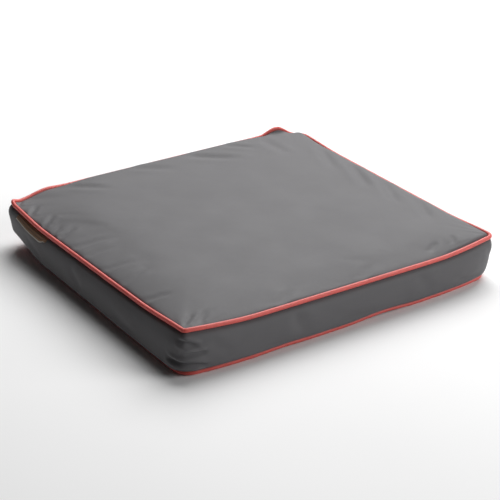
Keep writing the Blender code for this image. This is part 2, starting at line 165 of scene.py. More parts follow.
# Folds: where each starts and ends, its width and its depth
Fold = namedtuple("Fold", "start end width depth")
FOLD_OVERRUN = 0.15  # how far a fold runs past its ends, as a share of its length
FOLD_FADE_IN = 0.35
FOLD_FADE_OUT = 0.50
RIDGE_SHARE = 0.45  # the height of the ridges beside a furrow, as a share of its depth
RIDGE_OFFSET = 2.0  # their distance from it, in widths
FOLD_CLEAR = 0.004  # the top's folds fade out this near a seam
FOLD_RISE = 0.125  # and the band's in this share of its height, above the lower seam
PANEL_FOLDS = (
    Fold((-0.2130, 0.0850), (-0.1850, 0.0930), 0.0032, 0.0020),
    Fold((-0.2160, 0.1000), (-0.1960, 0.1070), 0.0028, 0.0014),
    Fold((-0.2150, 0.1220), (-0.1900, 0.1380), 0.0034, 0.0014),
    Fold((-0.2120, 0.0520), (-0.1640, 0.0410), 0.0036, 0.0018),
    Fold((-0.2110, 0.0240), (-0.1740, 0.0200), 0.0034, 0.0014),
    Fold((-0.2110, -0.0190), (-0.1700, -0.0290), 0.0034, 0.0017),
    Fold((-0.2110, -0.0600), (-0.1750, -0.0560), 0.0034, 0.0012),
    Fold((-0.2080, -0.1100), (-0.1800, -0.1180), 0.0034, 0.0012),
    Fold((-0.2140, 0.1880), (-0.2020, 0.2010), 0.0028, 0.0014),
    Fold((-0.2130, 0.1580), (-0.1950, 0.1740), 0.0032, 0.0014),
    Fold((-0.1400, 0.1900), (-0.1000, 0.1600), 0.0050, 0.0012),
    Fold((-0.0500, 0.1930), (-0.0050, 0.1690), 0.0055, 0.0012),
    Fold((0.0300, 0.1900), (0.0900, 0.1520), 0.0055, 0.0016),
    Fold((0.0900, 0.1940), (0.1220, 0.1700), 0.0045, 0.0015),
    Fold((0.1450, 0.1900), (0.1500, 0.1300), 0.0065, 0.0013),
    Fold((0.2000, 0.1300), (0.1700, 0.0600), 0.0065, 0.0016),
    Fold((0.2000, 0.0640), (0.1700, -0.0100), 0.0060, 0.0018),
    Fold((0.2000, 0.0000), (0.1700, -0.0700), 0.0060, 0.0016),
    Fold((0.2000, -0.0700), (0.1720, -0.1300), 0.0055, 0.0014),
    Fold((0.1260, -0.1870), (0.1430, -0.1760), 0.0034, 0.0014),
    Fold((0.1600, -0.1880), (0.1680, -0.1740), 0.0032, 0.0010),
    Fold((0.0200, -0.1950), (0.0450, -0.1780), 0.0045, 0.0010),
    Fold((-0.0900, -0.1950), (-0.0650, -0.1800), 0.0045, 0.0010),
    Fold((-0.2040, -0.1820), (-0.1860, -0.1720), 0.0034, 0.0011),
    Fold((-0.1870, -0.1870), (-0.1700, -0.1720), 0.0034, 0.0011),
)

# Soft unevenness of the top: height, length and seed
PANEL_WAVES = ((0.0009, 0.075, 3.0), (0.0003, 0.028, 8.0))

# The side band's places are (distance from the front left corner to the right, height)
BAND_FOLDS = (
    Fold((-0.0030, 0.0430), (0.0130, 0.0355), 0.0022, 0.0034),
    Fold((0.0010, 0.0290), (0.0220, 0.0275), 0.0021, 0.0032),
    Fold((-0.0130, 0.0205), (0.0220, 0.0125), 0.0023, 0.0038),
    Fold((0.0280, 0.0340), (0.0520, 0.0200), 0.0050, 0.0009),
    Fold((0.0900, 0.0140), (0.1450, 0.0110), 0.0050, 0.0011),
    Fold((0.1300, 0.0380), (0.1500, 0.0160), 0.0070, 0.0012),
    Fold((0.1900, 0.0180), (0.2500, 0.0130), 0.0050, 0.0012),
    Fold((0.3000, 0.0360), (0.3250, 0.0200), 0.0070, 0.0011),
    Fold((0.3600, 0.0180), (0.4050, 0.0120), 0.0045, 0.0012),
    Fold((0.4080, 0.0400), (0.4220, 0.0260), 0.0040, 0.0006),
    Fold((-0.1300, 0.0200), (-0.0700, 0.0140), 0.0050, 0.0010),
    Fold((-0.2300, 0.0360), (-0.2000, 0.0180), 0.0060, 0.0010),
    Fold((-0.3400, 0.0300), (-0.3000, 0.0180), 0.0050, 0.0010),
)

# Filling
FILLING_INSET = 0.0055
WADDING_DEPTH = 0.0042
WADDING_TOP = 0.0027
WADDING_BOTTOM = 0.0019

# Cloth simulation
CLOTH_FRAMES = 20
CLOTH_SLACK = 0.045  # how much longer the cloth is cut along its seams
SLACK_REACH = 0.025
PANEL_HOLD = 0.02
BAND_HOLD = 0.10
TOP_PRESSURE = 0.4
BAND_PRESSURE = 0.4
PANEL_CAP = 0.0014
BAND_CAP = 0.0012
EDGE_TOLERANCE = 0.0005
BAND_END = 3  # how many stations are held at each end of the band

# Zip and its stitches
ZIP_BAND_ROWS = 10
STITCH_PITCH = 0.0030
STITCH_LENGTH = 0.0023
STITCH_START = 0.6  # in pitches, from the band's end
STITCH_INSET = 0.0030
THREAD_RADIUS = 0.0002
# A stitch's rings: place along it, thickness and distance out, both in the thread's radii
STITCH_RINGS = ((0.0, 0.35, -0.5), (0.15, 0.9, 0.01), (0.5, 1.0, 0.5), (0.85, 0.9, 0.01), (1.0, 0.35, -0.5))
WIRE_RADIUS = 0.00032
WIRE_SIDES = 6
COIL_PITCH = 0.0013
TURN_POINTS = 12
COIL_MESH = 0.0009  # how far each coil reaches between the other's turns, past the frame's coil

# Label
LABEL_DROP = 0.58  # as a share of the frame label's height, as the band hides the rest
LABEL_STAND = 0.0009  # how far off the band its middle lies
LABEL_LAYER = 0.0008
LABEL_FABRIC = 0.0004
LABEL_STATIONS = 40
# Its rows, from the seam round the fold at its lower edge and up again: drop, as a share, and layers out
LABEL_ROWS = (
    (0.0, 0.0), (0.05, 0.2), (0.3, 0.3), (0.6, 0.3), (0.85, 0.4), (0.97, 0.8), (1.0, 0.5), (0.96, -0.1),
    (0.6, -0.4), (0.3, -0.4),
)
LABEL_FRONT_ROUND = 0.45  # its drop is less by this share at its front end
LABEL_FRONT_REACH = 0.008
LABEL_REAR_ROUND = 0.30
LABEL_REAR_REACH = 0.035

# Colours, linear: the pairs are the darker and the lighter patches
GREY = ((0.104, 0.101, 0.106), (0.116, 0.113, 0.118))
# The weave's gaps, and also the colour of the painted shade beside the seams
GREY_GAP_AND_SEAM_SHADE = (0.045, 0.044, 0.046)
CORAL = ((0.64, 0.080, 0.066), (0.74, 0.108, 0.088))
CORAL_SHADE = (0.42, 0.060, 0.050)
THREAD = ((0.05, 0.05, 0.052), (0.09, 0.09, 0.094))
COTTON = ((0.55, 0.53, 0.48), (0.75, 0.73, 0.68))
WOOL = ((0.62, 0.61, 0.58), (0.80, 0.79, 0.76))
FOAM = ((0.48, 0.42, 0.27), (0.68, 0.61, 0.42))
LABEL = ((0.23, 0.12, 0.06), (0.33, 0.19, 0.10))
LABEL_STRIPE = (0.06, 0.035, 0.03)
LABEL_SELVEDGE = (0.55, 0.52, 0.46)
LABEL_GAP = (0.05, 0.03, 0.02)
TAPE_GAP = (0.014, 0.014, 0.016)
TAPE_RIB = (0.030, 0.030, 0.033)
NYLON = ((0.020, 0.020, 0.023), (0.034, 0.034, 0.038))
METAL = ((0.50, 0.49, 0.47), (0.66, 0.65, 0.63))
FLOOR = ((0.86, 0.86, 0.86), (0.90, 0.90, 0.90))

# Textures
NOISE_LOW = 0.3
NOISE_HIGH = 0.7
WAVE_TURN = 20.0  # a wave texture at scale 1 turns through this many radians in a metre
THREAD_DISTORTION = 0.4
LABEL_STRIPES = 1.25

# Lamps: name, azimuth and elevation in degrees, distance, size, power in watts
LAMPS = (
    ("key", 130.0, 49.0, 2.4, 2.2, 92.0),
    ("front_fill", 42.0, 24.0, 2.8, 1.4, 41.0),
)
SKY_STRENGTH = 0.03
FLOOR_REACH = 4.0

# Camera
CAMERA_AZIMUTH = math.radians(-33.6)
CAMERA_ELEVATION = math.radians(25.6)
CAMERA_DISTANCE = 1.965
CAMERA_LENS = 117.1
SENSOR = 36.0
CAMERA_TARGET = Vector((-0.0008, -0.0023, 0.0146))

Outline = namedtuple("Outline", "flat inward travelled height")


# Meshes


def add_mesh(name, points, faces, material, weave=None, seam=None):
    """A smooth mesh. weave is each point's place on its flat cloth and seam its distance to a seam."""
    mesh = bpy.data.meshes.new(name)
    mesh.from_pydata([tuple(point) for point in points], [], [tuple(face) for face in faces])
    flat = np.zeros((len(points), 3), dtype=np.float32)
    weave = np.array(points if weave is None else weave)
    flat[:, : weave.shape[1]] = weave
    mesh.attributes.new("weave", "FLOAT_VECTOR", "POINT").data.foreach_set("vector", flat.ravel())
    far = np.full(len(points), 1.0) if seam is None else seam
    mesh.attributes.new("seam", "FLOAT", "POINT").data.foreach_set("value", far.astype(np.float32))
    mesh.materials.append(material)
    mesh.shade_smooth()
    piece = bpy.data.objects.new(name, mesh)
    bpy.context.scene.collection.objects.link(piece)
    return piece


def grid_faces(rows, columns, close_rows=False, close_columns=False):
    """Quads over a grid of points, which may close on itself either way."""
    faces = []
    for i in range(rows if close_rows else rows - 1):
        for j in range(columns if close_columns else columns - 1):
            up = (i + 1) % rows
            on = (j + 1) % columns
            faces.append((i * columns + j, i * columns + on, up * columns + on, up * columns + j))
    return faces


def rim_numbers(rows, columns):
    """The numbers of a grid's outer points, in order round the grid."""
    numbers = np.arange(rows * columns).reshape(rows, columns)
    return np.concatenate((numbers[0, :-1], numbers[:-1, -1], numbers[-1, :0:-1], numbers[:0:-1, 0]))


def apply_modifiers(piece):
    """Fix the shape that the modifiers give."""
    graph = bpy.context.evaluated_depsgraph_get()
    mesh = bpy.data.meshes.new_from_object(piece.evaluated_get(graph), depsgraph=graph)
    piece.modifiers.clear()
    piece.data = mesh


def thicken(piece, thickness):
    """Give a skin its cloth's thickness, inward from its outer face, and smooth it."""
    solid = piece.modifiers.new("Solidify", "SOLIDIFY")
    solid.thickness = thickness
    solid.offset = -1.0
    smooth = piece.modifiers.new("Subdivision", "SUBSURF")
    smooth.levels = 1
    smooth.render_levels = 1
    apply_modifiers(piece)
    return piece


def points_of(mesh):
    flat = np.empty(len(mesh.vertices) * 3)
    mesh.vertices.foreach_get("co", flat)
    return flat.reshape(-1, 3)


def smoothstep(t):
    t = np.clip(t, 0.0, 1.0)
    return t * t * (3.0 - 2.0 * t)


def waves(places, length, seed):
    """Smooth unevenness from -1 to 1 at each place, over about the given length."""
    shift = Vector((seed, 2.0 * seed, 0.0))
    return np.array([noise.noise(Vector((*place[:2], 0.0)) / length + shift) for place in places])


# Outline and seams


def resample(points, fractions):
    """Points at the given fractions of a line's length."""
    steps = np.linalg.norm(np.diff(points, axis=0), axis=1)
    travelled = np.concatenate(([0.0], np.cumsum(steps)))
    wanted = fractions * travelled[-1]
    return np.column_stack([np.interp(wanted, travelled, column) for column in points.T])


def spread(count):
    """Fractions from 0 to 1, closer together near both ends."""
    even = np.linspace(0.0, 1.0, count + 1)
    return even - 0.5 * np.sin(2 * np.pi * even) / (2 * np.pi)


def corner_places(top):
    """The four corners of the outline, as if they were sharp."""
    side = FACE_X - BOW
    front = BOW - FACE_FRONT
    frame_corners = ((-side, front), (side, front), (side, FACE_REAR), (-side, FACE_REAR))
    places = []
    for (x, y), corner in zip(frame_corners, CORNERS):
        tuck = 0.0 if top else corner.tuck
        shifted = np.array((x + corner.shift_x, y + corner.shift_y))
        places.append(shifted - tuck * np.sign((x, y)))
    return places


def side_line(number, places, radii, bow, cells):
    """A side of the band's face, from the middle of one corner to the middle of the next."""
    start = places[number]
    end = places[(number + 1) % 4]
    first = radii[number]
    last = radii[(number + 1) % 4]
    length = np.linalg.norm(end - start)
    along = (end - start) / length
    outward = np.array((along[1], -along[0]))
    turn = np.radians(np.linspace(0.0, 45.0, ARC_POINTS))
    forward = 1.0 - np.sin(turn)
    dip = np.cos(turn) - 1.0
    t = np.linspace(-1.0, 1.0, SIDE_POINTS)
    middle = first + (length - first - last) * (t + 1.0) / 2.0
    local = np.concatenate((
        np.column_stack((first * forward, first * dip))[:0:-1],
        np.column_stack((middle, bow * (1.0 - np.abs(t) ** BOW_FLATNESS))),
        np.column_stack((length - last * forward, last * dip))[1:],
    ))
    return resample(start + local[:, :1] * along + local[:, 1:] * outward, spread(cells))


def nearness(flat, place, reach):
    """1 at a place and 0 beyond reach from it, smoothly."""
    return 1.0 - smoothstep(np.linalg.norm(flat - place, axis=1) / reach)


def seam_height(flat, top):
    """The height of a piping's middle near each place on the outline."""
    height = np.full(len(flat), SEAM_TOP if top else SEAM_BOTTOM)
    for place, corner in zip(corner_places(top), CORNERS):
        lift = corner.lift_top if top else corner.lift_bottom
        height += lift * nearness(flat, place, CORNER_REACH)
    if top:
        at_rear = smoothstep((flat[:, 1] - FACE_REAR + REAR_REACH) / REAR_REACH)
        from_corner = smoothstep((FACE_X - np.abs(flat[:, 0]) - REAR_START) / REAR_REACH)
        height += REAR_RISE * at_rear * from_corner
    for loop in TOP_LOOPS if top else BOTTOM_LOOPS:
        height += loop.height * nearness(flat, loop.place, loop.reach)
    return height


def make_outline(top):
    places = corner_places(top)
    bows = TOP_BOWS if top else BOTTOM_BOWS
    radii = [corner.radius_top if top else corner.radius_bottom for corner in CORNERS]
    sides = [side_line(i, places, radii, bows[i], (CELLS_X, CELLS_Y)[i % 2]) for i in range(4)]
    flat = np.concatenate([side[:-1] for side in sides])
    ahead = np.roll(flat, -1, axis=0) - np.roll(flat, 1, axis=0)
    ahead /= np.linalg.norm(ahead, axis=1, keepdims=True)
    steps = np.linalg.norm(np.roll(flat, -1, axis=0) - flat, axis=1)
    return Outline(
        flat,
        np.column_stack((-ahead[:, 1], ahead[:, 0])),
        np.concatenate(([0.0], np.cumsum(steps)[:-1])),
        seam_height(flat, top),
    )


def ring(outline, inset, above):
    """Points round the pad, at an inset from the band's face and a height above the seam."""
    inset = np.broadcast_to(inset, len(outline.flat))[:, None]
    return np.column_stack((outline.flat + outline.inward * inset, outline.height + above))


# Panels


def patch(outline, inset):
    """A grid of places that fills the outline at an inset: rows to +X, one behind the other to +Y."""
    edge = outline.flat + outline.inward * inset
    starts = np.cumsum((0, CELLS_X, CELLS_Y, CELLS_X))
    closed = np.concatenate((edge, edge[:1]))
    front = closed[starts[0]: starts[1] + 1]
    right = closed[starts[1]: starts[2] + 1]
    rear = closed[starts[2]: starts[3] + 1][::-1]
    left = closed[starts[3]:][::-1]
    u = spread(CELLS_X)[None, :, None]
    v = spread(CELLS_Y)[:, None, None]
    across = (1 - v) * front[None] + v * rear[None]
    along = (1 - u) * left[:, None] + u * right[:, None]
    square = (1 - v) * ((1 - u) * front[0] + u * front[-1]) + v * ((1 - u) * rear[0] + u * rear[-1])
    return across + along - square


def edge_distances():
    """Distances on the panel's grid: from the nearer side each way, from the right and the rear."""
    width = 2 * FACE_X
    depth = FACE_FRONT + FACE_REAR
    u, v = np.meshgrid(spread(CELLS_X) * width, spread(CELLS_Y) * depth)
    return np.minimum(u, width - u), np.minimum(v, depth - v), width - u, depth - v


def rise(across, along, reach, sharpness):
    """0 at the panel's edge and 1 beyond reach from it."""

    def profile(distance):
        return 1.0 - (1.0 - np.clip(distance / reach, 0.0, 1.0)) ** sharpness

    return profile(across) * profile(along)


def steep_share(from_right, from_rear):
    """How much of the top's rise is steep: most beside the rear seam and the right one."""
    at_right = 1.0 - smoothstep(from_right / CROWN_REACH)
    at_rear = 1.0 - smoothstep(from_rear / CROWN_REACH)
    at_rear *= smoothstep((2 * FACE_X - from_right) / CROWN_REACH)
    shoulder = np.maximum(REAR_SHOULDER * at_rear, RIGHT_SHOULDER * at_right)
    return np.maximum(shoulder, FRONT_SHOULDER)


def rear_swell(x, from_rear):
    """The top's swelling along the rear seam, which fades towards both corners."""
    from_end = FACE_X - np.abs(x - SWELL_MIDDLE) - SWELL_START
    return SWELL_HEIGHT * np.exp(-(from_rear / SWELL_WIDTH) ** 2) * smoothstep(from_end / SWELL_FADE)


def panel_surface(outline, top, inset, depth):
    """A panel's face, or a surface at a depth behind it, as a grid of points."""
    places = patch(outline, inset)
    edge = seam_height(places.reshape(-1, 2), top).reshape(places.shape[:2])
    across, along, from_right, from_rear = edge_distances()
    if not top:
        share = rise(across, along, UNDERSIDE_REACH, UNDERSIDE_SHARPNESS)
        return np.dstack((places, edge * (1.0 - share) + depth))
    steep = rise(across, along, SHOULDER_REACH, CROWN_SHARPNESS)
    gentle = rise(across, along, CROWN_REACH, CROWN_SHARPNESS)
    share = gentle + (steep - gentle) * steep_share(from_right, from_rear)
    swell = rear_swell(places[..., 0], from_rear) * steep
    return np.dstack((places, edge + (PANEL_TOP + CROWN_PROUD - edge) * share + swell - depth))


def folded(places, folds):
    """How far a list of folds raises each place: a furrow with a soft ridge on either side."""
    raised = np.zeros(len(places))
    for fold in folds:
        start = np.array(fold.start)
        along = np.array(fold.end) - start
        length = np.linalg.norm(along)
        along /= length
        off = places - start
        t = (off @ along) / length
        across = (off @ np.array((-along[1], along[0]))) / fold.width
        faded = smoothstep((t + FOLD_OVERRUN) / FOLD_FADE_IN)
        faded *= smoothstep((1.0 + FOLD_OVERRUN - t) / FOLD_FADE_OUT)
        ridges = np.exp(-(across - RIDGE_OFFSET) ** 2) + np.exp(-(across + RIDGE_OFFSET) ** 2)
        raised += fold.depth * faded * (RIDGE_SHARE * ridges - np.exp(-across ** 2))
    return raised


def cut_panel(name, surface, drop, material):
    """A panel's skin, with its edge turned into the seam by drop, up or down."""
    rows, columns = surface.shape[:2]
    points = surface.reshape(-1, 3)
    rim = rim_numbers(rows, columns)
    faces = grid_faces(rows, columns)
    count = len(rim)
    for i in range(count):
        after = (i + 1) % count
        faces.append((rim[after], rim[i], len(points) + i, len(points) + after))
    if drop > 0:
        faces = [face[::-1] for face in faces]
    across, along, *_ = edge_distances()
    seam = np.concatenate((np.minimum(across, along).ravel(), np.zeros(count)))
    turned = points[rim] + (0.0, 0.0, drop)
    return add_mesh(name, np.concatenate((points, turned)), faces, material, seam=seam)


# Cloth


def weigh(piece, name, weights):
    """Give the piece a vertex group, with a weight for each point."""
    group = piece.vertex_groups.new(name=name)
    for number, weight in enumerate(weights):
        group.add((number,), float(weight), "REPLACE")


def add_cloth(piece, pressure):
    """Soft cloth that the group held keeps in place, cut longer where the group slack says."""
    cloth = piece.modifiers.new("Cloth", "CLOTH")
    settings = cloth.settings
    settings.quality = 6
    settings.mass = 0.2
    settings.tension_stiffness = 25.0
    settings.compression_stiffness = 25.0
    settings.shear_stiffness = 8.0
    settings.bending_stiffness = 0.05
    settings.vertex_group_mass = "held"
    settings.pin_stiffness = 1.0
    settings.vertex_group_shrink = "slack"
    settings.shrink_min = 0.0
    settings.shrink_max = -CLOTH_SLACK
    settings.use_pressure = True
    settings.uniform_pressure_force = pressure
    settings.effector_weights.gravity = 0.0
    return cloth


def settle(piece, held, slack, pressure, cap):
    """Let a skin wrinkle as cloth that is held at its seams and lies on a soft filling.

    held gives how firmly each point keeps its place and slack how much longer the cloth is cut there.
    No point moves further than cap.
    """
    before = points_of(piece.data)
    weigh(piece, "held", held)
    weigh(piece, "slack", slack)
    cloth = add_cloth(piece, pressure)
    for number in range(1, CLOTH_FRAMES + 1):
        bpy.context.scene.frame_set(number)
    graph = bpy.context.evaluated_depsgraph_get()
    moved = points_of(piece.evaluated_get(graph).data) - before
    piece.modifiers.remove(cloth)
    piece.vertex_groups.clear()
    bpy.context.scene.frame_set(1)
    length = np.maximum(np.linalg.norm(moved, axis=1, keepdims=True), 1e-9)
    moved *= cap * np.tanh(length / cap) / length
    piece.data.vertices.foreach_set("co", (before + moved).ravel())
    piece.data.update()


# Band


def band_profile(shares):
    """How far the band stands out at shares of its height: 0 at both seams and fullest low down."""
    from_middle = np.abs(2.0 * shares ** BULGE_LOWNESS - 1.0)
    full = (1.0 - from_middle ** BULGE_FLATNESS) ** BULGE_ROUNDNESS
    lip = 1.0 - np.exp(np.minimum(shares - 1.0, 0.0) / LIP_HEIGHT)
    lip *= np.minimum(shares / LIP_HEIGHT, 1.0)
    return full + LIP_SHARE * lip


def band_bulge(outline):
    """The band's bulge at each station: none beside the zip, most on the left, least on the right."""
    x, y = outline.flat.T
    beside_zip = smoothstep((np.abs(x) - ZIP_CLEAR) / ZIP_BLEND)
    clear = np.where(y > FACE_REAR - REAR_FACE_DEPTH, beside_zip, 1.0)
    left = smoothstep((LEFT_BLEND - FACE_X - x) / LEFT_BLEND)
    left *= 1.0 - LEFT_CALM * smoothstep((y - LEFT_CALM_START) / LEFT_CALM_REACH)
    right = smoothstep((x - FACE_X + RIGHT_BLEND) / RIGHT_BLEND)
    bulge = FRONT_BULGE + (LEFT_BULGE - FRONT_BULGE) * left + (RIGHT_BULGE - FRONT_BULGE) * right
    return clear * bulge


def band_points(upper, lower, shares):
    """The band's outer face, at shares (rows by stations) of the way up from the lower seam."""
    bottom = lower.height + BEAD_RADIUS
    height = bottom + (upper.height - BEAD_RADIUS - bottom) * shares
    rear = smoothstep((lower.flat[:, 1] - FACE_REAR + REAR_BLEND) / REAR_BLEND)
    lean = shares + (smoothstep((height - LEAN_START) / LEAN_RISE) - shares) * rear
    inset = BAND_TOP_INSET - band_bulge(lower) * band_profile(shares)
    flat = lower.flat + (upper.flat - lower.flat) * lean[..., None] + lower.inward * inset[..., None]
    return np.dstack((flat, height))


def share_at(upper, lower, height):
    """The share of the band's height that a level is at, for each station."""
    bottom = lower.height + BEAD_RADIUS
    return (height - bottom) / (upper.height - BEAD_RADIUS - bottom)


def in_turn(keep):
    """The numbers of the stations to keep, in order from the gap between them."""
    numbers = np.flatnonzero(keep)
    breaks = np.flatnonzero(np.diff(numbers) > 1)
    return np.roll(numbers, -(breaks[0] + 1)) if len(breaks) else numbers


def side_stations(outline):
    """The side band's stations: it runs on, at each end, to the zip bands' last station."""
    x, y = outline.flat.T
    keep = (y < FACE_REAR - REAR_STRIP_DEPTH) | (np.abs(x) > ZIP_BAND_END)
    return in_turn(keep | np.roll(keep, 1) | np.roll(keep, -1))


def rear_stations(outline):
    """The zip bands' stations."""
    x, y = outline.flat.T
    return in_turn((y > FACE_REAR - REAR_STRIP_DEPTH) & (np.abs(x) < ZIP_BAND_END))


def strip_mesh(name, rows, travelled, material, seam):
    """A strip of cloth from rows of points, one above the other."""
    weave = np.dstack((np.broadcast_to(travelled, rows.shape[:2]), rows[..., 2]))
    points = rows.reshape(-1, 3)
    faces = grid_faces(*rows.shape[:2])
    return add_mesh(name, points, faces, material, weave.reshape(-1, 2), seam.ravel())


# Piping


def bead_arc(radius, first_plane, last_plane, up, count):
    """An arc of the bead between two insets from its middle, as (inset, height) points.

    It runs the long way round: up from the first one when up is true, and else down from it.
    """
    first = math.acos(first_plane / radius)
    last = math.acos(last_plane / radius)
    ends = (-first, 2 * math.pi - last) if up else (2 * math.pi - first, -last)
    turns = np.linspace(*ends, count)
    return [(BEAD_INSET + radius * math.cos(turn), radius * math.sin(turn)) for turn in turns]


def piping_section():
    """The folded strip round its cord, as (inset, height above the seam) points."""
    outer_near = FLANGE_INSET - BEAD_INSET
    inner_near = outer_near + PIPING_FABRIC
    inner_far = inner_near + PIPING_GAP
    outer_far = inner_far + PIPING_FABRIC
    outer = bead_arc(BEAD_RADIUS, outer_far, outer_near, True, OUTER_POINTS)
    inner = bead_arc(BEAD_RADIUS - PIPING_FABRIC, inner_near, inner_far, False, INNER_POINTS)
    near_edge = [(BEAD_INSET + plane, -ALLOWANCE) for plane in (outer_near, inner_near)]
    far_edge = [(BEAD_INSET + plane, -ALLOWANCE) for plane in (inner_far, outer_far)]
    return outer + near_edge + inner + far_edge


def sweep(name, outline, section, up, material):
    """A closed tube along a seam, from a section's (inset, height above the seam) points."""
    rings = np.array([ring(outline, inset, up * height) for inset, height in section])
    count, stations = rings.shape[:2]
    weave = np.zeros((count, stations, 2))
    weave[..., 0] = outline.travelled
    weave[..., 1] = np.linspace(0.0, 2 * math.pi * BEAD_RADIUS, count)[:, None]
    faces = grid_faces(count, stations, True, True)
    if up > 0:
        faces = [face[::-1] for face in faces]
    return add_mesh(name, rings.reshape(-1, 3), faces, material, weave.reshape(-1, 2))


def make_cord(name, outline, material):
    """A twisted cord inside the piping."""
    section = []
    for turn in np.linspace(0.0, 2 * math.pi, CORD_POINTS, endpoint=False):
        strand = np.abs(np.sin(STRANDS / 2 * (turn + outline.travelled / (2 * CORD_RADIUS))))
        radius = CORD_RADIUS * (1.0 - STRAND_RELIEF * (1.0 - strand))
        section.append((BEAD_INSET + radius * math.cos(turn), radius * math.sin(turn)))
    return sweep(name, outline, section, -1, material)


# Filling


def make_slab(name, upper, lower, material):
    """A solid between two grids of points, joined round their rims."""
    rows, columns = upper.shape[:2]
    count = rows * columns
    faces = grid_faces(rows, columns)
    faces += [tuple(number + count for number in face[::-1]) for face in faces]
    rim = rim_numbers(rows, columns)
    for here, after in zip(rim, np.roll(rim, -1)):
        faces.append((after, here, here + count, after + count))
    points = np.concatenate((upper.reshape(-1, 3), lower.reshape(-1, 3)))
    return add_mesh(name, points, faces, material)


# Zip bands, stitches and label


def hem_rows(edge, up):
    """The hem's turned-back part: rows of points behind the band's edge, which run away from it."""
    behind = 2 * FABRIC + PIPING_GAP
    turned = ((FABRIC, -HEM_FOLD), (behind, 2 * HEM_FOLD), (behind, HEM))
    return [edge + np.array((0.0, -inset, up * height)) for inset, height in turned]


def zip_strip(name, upper, lower, hem, up, material):
    """Half of the rear boxing, from its seam to its hem beside the zip; up is 1 for the upper half."""
    hem_share = share_at(upper, lower, hem)
    seam_share = np.full_like(hem_share, 1.0 if up > 0 else 0.0)
    steps = spread(ZIP_BAND_ROWS)[:, None]
    face = band_points(upper, lower, seam_share + (hem_share - seam_share) * steps)
    rows = np.array(list(face) + hem_rows(face[-1], up))[:, rear_stations(lower)]
    if up > 0:
        rows = rows[::-1]
    seam = np.abs(rows[..., 2] - face[0][0, 2])
    return thicken(strip_mesh(name, rows, rows[..., 0], material, seam), FABRIC)


def make_stitches(name, height, upper, lower, material):
    """A row of topstitches along a zip band."""
    line = band_points(upper, lower, share_at(upper, lower, height)[None, :])[0][rear_stations(lower)]
    line = line[np.argsort(line[:, 0])]
    points = []
    faces = []
    rings = len(STITCH_RINGS)
    per_stitch = rings * WIRE_SIDES
    turns = np.linspace(0.0, 2 * math.pi, WIRE_SIDES, endpoint=False)
    count = int((2 * ZIP_BAND_END - STITCH_PITCH) / STITCH_PITCH)
    for number in range(count):
        start = -ZIP_BAND_END + STITCH_PITCH * (number + STITCH_START)
        for step, thickness, out in STITCH_RINGS:
            x = start + STITCH_LENGTH * step
            y = np.interp(x, line[:, 0], line[:, 1]) + THREAD_RADIUS * out
            radius = THREAD_RADIUS * thickness
            for turn in turns:
                points.append((x, y + radius * math.cos(turn), height + radius * math.sin(turn)))
        first = number * per_stitch
        faces += [tuple(first + n for n in face) for face in grid_faces(rings, WIRE_SIDES, False, True)]
        faces.append(tuple(first + n for n in range(WIRE_SIDES))[::-1])
        faces.append(tuple(first + per_stitch - WIRE_SIDES + n for n in range(WIRE_SIDES)))
    return add_mesh(name, points, faces, material)


def add_tube(name, line, radius, across, material):
    """A round wire along a line of points, which never runs the way of across."""
    ahead = np.gradient(line, axis=0)
    ahead /= np.linalg.norm(ahead, axis=1, keepdims=True)
    first = np.cross(ahead, across)
    first /= np.linalg.norm(first, axis=1, keepdims=True)
    second = np.cross(ahead, first)
    turns = np.linspace(0.0, 2 * math.pi, WIRE_SIDES, endpoint=False)
    rows = np.array([line + radius * (math.cos(t) * first + math.sin(t) * second) for t in turns])
    points = rows.transpose(1, 0, 2).reshape(-1, 3)
    faces = grid_faces(len(line), WIRE_SIDES, False, True)
    faces.append(tuple(range(WIRE_SIDES))[::-1])
    faces.append(tuple(range(len(points) - WIRE_SIDES, len(points))))
    return add_mesh(name, points, faces, material)


def make_coil(name, side, material):
    """A coil of the zip, on the upper tape for side 1: a wire that winds round its core."""
    low, high = COIL_BOXES[side]
    middle = (low + high) / 2.0 - Vector((0.0, 0.0, side * COIL_MESH / 2.0))
    out = (high[1] - low[1]) / 2.0 - WIRE_RADIUS
    up = (high[2] - low[2] + COIL_MESH) / 2.0 - WIRE_RADIUS
    turns = int((high[0] - low[0] - 2 * WIRE_RADIUS) / COIL_PITCH)
    steps = TURN_POINTS * turns
    angle = np.linspace(0.0, 2 * math.pi * turns, steps + 1) + math.pi * (1 - side) / 2.0
    x = np.linspace(low[0] + WIRE_RADIUS, high[0] - WIRE_RADIUS, steps + 1)
    line = np.column_stack((x, middle[1] + out * np.cos(angle), middle[2] + side * up * np.sin(angle)))
    core = np.column_stack((x, np.full_like(x, middle[1]), np.full_like(x, middle[2])))[::TURN_POINTS]
    return (
        add_tube(name, line, WIRE_RADIUS, (1.0, 0.0, 0.0), material),
        add_tube(name.replace("turns", "core"), core, up - WIRE_RADIUS, (0.0, 0.0, 1.0), material),
    )


